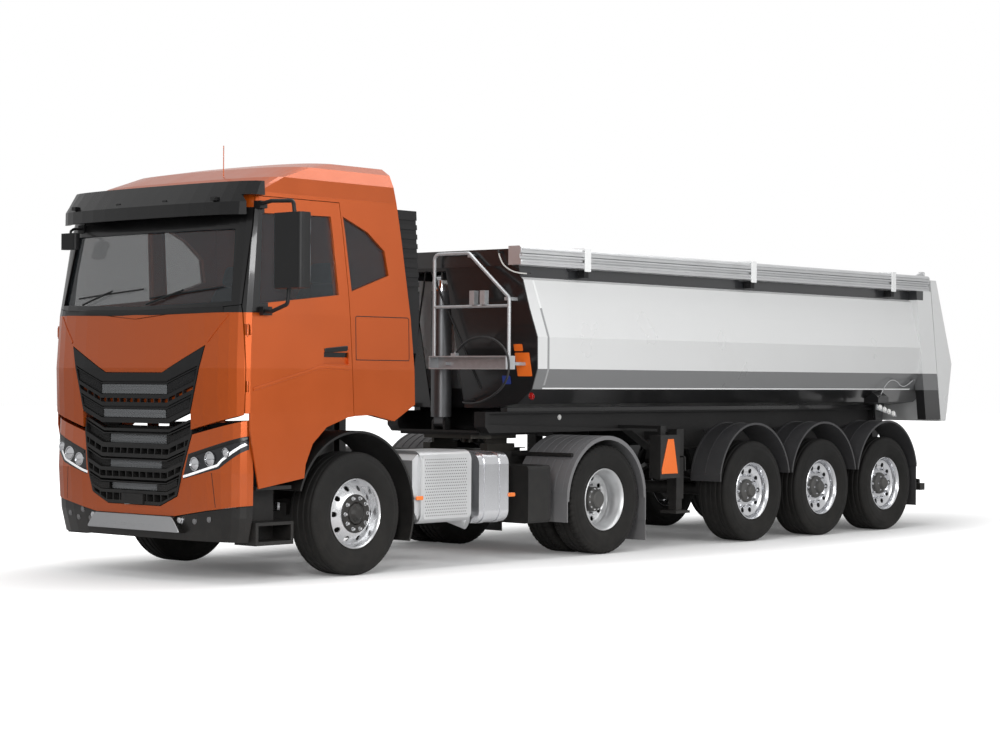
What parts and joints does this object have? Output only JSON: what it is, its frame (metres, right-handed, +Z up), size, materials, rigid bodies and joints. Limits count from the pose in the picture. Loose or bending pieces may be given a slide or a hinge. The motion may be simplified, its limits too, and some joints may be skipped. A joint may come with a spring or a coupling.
{
  "type": "articulated tipping lorry",
  "caption": "Articulated tipping lorry: cab-over tractor unit with steered front wheels and a half-pipe tipping semi-trailer that lifts on a telescopic ram.",
  "frame": {"origin": "on the ground below the middle of the lorry's box; the mirror on the left makes the box wider there, so the lorry's centre line lies 0.305 m to the right of the origin, at y -0.305", "axes": "+X forward, +Y to the lorry's left, +Z up"},
  "size_m": [11.319, 3.11, 3.6198],
  "materials": {
    "tyre_rubber": "matt",
    "wheel_set": "matt tyre on bright rim",
    "rim_silver": "satin",
    "chassis_black": "semi-gloss",
    "engine_grey": "rough",
    "coupling_steel": "greased",
    "cab_orange": "metallic gloss",
    "trim_black": "grained",
    "lamp_clear": "clear",
    "cab_glazing": "tinted",
    "seat_cloth": "woven",
    "tank_aluminium": "polished",
    "guard_grey": "ribbed",
    "body_grey": "painted satin",
    "rail_silver": "mill",
    "railing_galvanised": "galvanised",
    "hose_rubber": "matt",
    "rope_fibre": "twisted",
    "cable_sheath": "satin",
    "ram_steel": "ground"
  },
  "bodies": {
    "tractor": {"tractor_frame": "chassis_black", "engine_block": "engine_grey", "front_axle": "chassis_black", "drive_axle": "chassis_black", "front_bumper": "cab_orange", "headlamps": "lamp_clear", "lower_grille": "trim_black", "bumper_skirt": "trim_black", "wheel_arches": "trim_black", "boarding_steps": "trim_black", "exhaust_box": "tank_aluminium", "fuel_tanks": "tank_aluminium", "battery_box": "trim_black", "tractor_mudguards": "guard_grey", "fifth_wheel": "coupling_steel"},
    "knuckle_left": {"knuckle_left": "chassis_black"},
    "knuckle_right": {"knuckle_right": "chassis_black"},
    "front_wheel_left": {"front_tyre_left": "tyre_rubber", "front_rim_left": "rim_silver"},
    "front_wheel_right": {"front_tyre_right": "tyre_rubber", "front_rim_right": "rim_silver"},
    "drive_wheels_left": {"drive_wheels_left": "wheel_set"},
    "drive_wheels_right": {"drive_wheels_right": "wheel_set"},
    "cab": {"cab_shell": "cab_orange", "cab_glass": "cab_glazing", "front_panel": "cab_orange", "upper_grille": "trim_black", "cab_roof": "cab_orange", "sun_visor": "trim_black", "air_stack": "trim_black", "cab_interior": "seat_cloth", "kerb_mirror": "trim_black"},
    "door_left": {"door_left": "cab_orange", "door_glass_left": "cab_glazing", "mirror_left": "trim_black"},
    "door_right": {"door_right": "cab_orange", "door_glass_right": "cab_glazing"},
    "trailer": {"trailer_frame": "chassis_black", "landing_legs": "chassis_black", "trailer_axles": "chassis_black", "trailer_mudguards": "guard_grey"},
    "tipping_body": {"tipping_body": "body_grey", "body_rails": "rail_silver", "front_platform": "railing_galvanised", "air_hose": "hose_rubber", "sheet_rope": "rope_fibre", "tail_cable": "cable_sheath"},
    "tailgate": {"tailgate": "body_grey"},
    "ram_barrel": {"ram_barrel": "ram_steel"},
    "trailer_wheel_1_left": {"trailer_wheel_1_left": "wheel_set"},
    "trailer_wheel_1_right": {"trailer_wheel_1_right": "wheel_set"},
    "trailer_wheel_2_left": {"trailer_wheel_2_left": "wheel_set"},
    "trailer_wheel_2_right": {"trailer_wheel_2_right": "wheel_set"},
    "trailer_wheel_3_left": {"trailer_wheel_3_left": "wheel_set"},
    "trailer_wheel_3_right": {"trailer_wheel_3_right": "wheel_set"},
    "ram_stage_1": {"ram_stage_1": "ram_steel"},
    "ram_stage_2": {"ram_stage_2": "ram_steel"},
    "ram_stage_3": {"ram_stage_3": "ram_steel"},
    "ram_stage_4": {"ram_stage_4": "ram_steel"},
    "ram_stage_5": {"ram_stage_5": "ram_steel"}
  },
  "joints": [
    {"name": "steer_left", "type": "hinge", "parent": "tractor", "child": "knuckle_left", "pos_m": [4.21, 0.575, 0.525], "axis": [0, 0, 1], "range_deg": [-40, 40]},
    {"name": "front_wheel_left_spin", "type": "hinge", "parent": "knuckle_left", "child": "front_wheel_left", "pos_m": [4.21, 0.76, 0.525], "axis": [0, 1, 0], "continuous": true},
    {"name": "drive_wheels_left_spin", "type": "hinge", "parent": "tractor", "child": "drive_wheels_left", "pos_m": [0.84, 0.61, 0.525], "axis": [0, 1, 0], "continuous": true},
    {"name": "door_left_swing", "type": "hinge", "parent": "cab", "child": "door_left", "pos_m": [5.485, 0.92, 2], "axis": [0, 0, -1], "range_deg": [0, 75]},
    {"name": "trailer_wheel_1_left_spin", "type": "hinge", "parent": "trailer", "child": "trailer_wheel_1_left", "pos_m": [-1.65, 0.74, 0.525], "axis": [0, 1, 0], "continuous": true},
    {"name": "trailer_wheel_2_left_spin", "type": "hinge", "parent": "trailer", "child": "trailer_wheel_2_left", "pos_m": [-2.96, 0.74, 0.525], "axis": [0, 1, 0], "continuous": true},
    {"name": "trailer_wheel_3_left_spin", "type": "hinge", "parent": "trailer", "child": "trailer_wheel_3_left", "pos_m": [-4.27, 0.74, 0.525], "axis": [0, 1, 0], "continuous": true},
    {"name": "steer_right", "type": "hinge", "parent": "tractor", "child": "knuckle_right", "pos_m": [4.21, -1.185, 0.525], "axis": [0, 0, 1], "range_deg": [-40, 40]},
    {"name": "front_wheel_right_spin", "type": "hinge", "parent": "knuckle_right", "child": "front_wheel_right", "pos_m": [4.21, -1.37, 0.525], "axis": [0, 1, 0], "continuous": true},
    {"name": "drive_wheels_right_spin", "type": "hinge", "parent": "tractor", "child": "drive_wheels_right", "pos_m": [0.84, -1.22, 0.525], "axis": [0, 1, 0], "continuous": true},
    {"name": "door_right_swing", "type": "hinge", "parent": "cab", "child": "door_right", "pos_m": [5.485, -1.53, 2], "axis": [0, 0, 1], "range_deg": [0, 75]},
    {"name": "trailer_wheel_1_right_spin", "type": "hinge", "parent": "trailer", "child": "trailer_wheel_1_right", "pos_m": [-1.65, -1.35, 0.525], "axis": [0, 1, 0], "continuous": true},
    {"name": "trailer_wheel_2_right_spin", "type": "hinge", "parent": "trailer", "child": "trailer_wheel_2_right", "pos_m": [-2.96, -1.35, 0.525], "axis": [0, 1, 0], "continuous": true},
    {"name": "trailer_wheel_3_right_spin", "type": "hinge", "parent": "trailer", "child": "trailer_wheel_3_right", "pos_m": [-4.27, -1.35, 0.525], "axis": [0, 1, 0], "continuous": true},
    {"name": "cab_tilt", "type": "hinge", "parent": "tractor", "child": "cab", "pos_m": [5.31, -0.305, 1.025], "axis": [0, 1, 0], "range_deg": [0, 55]},
    {"name": "trailer_swivel", "type": "hinge", "parent": "tractor", "child": "trailer", "pos_m": [1.44, -0.305, 1.14], "axis": [0, 0, 1], "range_deg": [-80, 80]},
    {"name": "body_tip", "type": "hinge", "parent": "trailer", "child": "tipping_body", "pos_m": [-4.99, -0.305, 1.18], "axis": [0, -1, 0], "range_deg": [0, 45]},
    {"name": "tailgate_swing", "type": "hinge", "parent": "tipping_body", "child": "tailgate", "pos_m": [-5.208, -0.305, 2.935], "axis": [0, 1, 0], "range_deg": [0, 75]},
    {"name": "ram_lean", "type": "hinge", "parent": "trailer", "child": "ram_barrel", "pos_m": [1.86, -0.305, 1.255], "axis": [0, -1, 0], "range_deg": [0, 27.8]},
    {"name": "ram_stage_1_slide", "type": "slide", "parent": "ram_barrel", "child": "ram_stage_1", "axis": [0, 0, 1], "range_m": [0, 1.035]},
    {"name": "ram_stage_2_slide", "type": "slide", "parent": "ram_stage_1", "child": "ram_stage_2", "axis": [0, 0, 1], "range_m": [0, 1.035]},
    {"name": "ram_stage_3_slide", "type": "slide", "parent": "ram_stage_2", "child": "ram_stage_3", "axis": [0, 0, 1], "range_m": [0, 1.035]},
    {"name": "ram_stage_4_slide", "type": "slide", "parent": "ram_stage_3", "child": "ram_stage_4", "axis": [0, 0, 1], "range_m": [0, 1.035]},
    {"name": "ram_stage_5_slide", "type": "slide", "parent": "ram_stage_4", "child": "ram_stage_5", "axis": [0, 0, 1], "range_m": [0, 1.035]}
  ],
  "couplings": [
    {"joint": "steer_right", "follows": "steer_left", "ratio": 1},
    {"joint": "ram_lean", "follows": "body_tip", "ratio": 0.61494},
    {"joint": "ram_stage_1_slide", "follows": "body_tip", "m_per_rad": 1.3148},
    {"joint": "ram_stage_2_slide", "follows": "body_tip", "m_per_rad": 1.3148},
    {"joint": "ram_stage_3_slide", "follows": "body_tip", "m_per_rad": 1.3148},
    {"joint": "ram_stage_4_slide", "follows": "body_tip", "m_per_rad": 1.3148},
    {"joint": "ram_stage_5_slide", "follows": "body_tip", "m_per_rad": 1.3148}
  ]
}
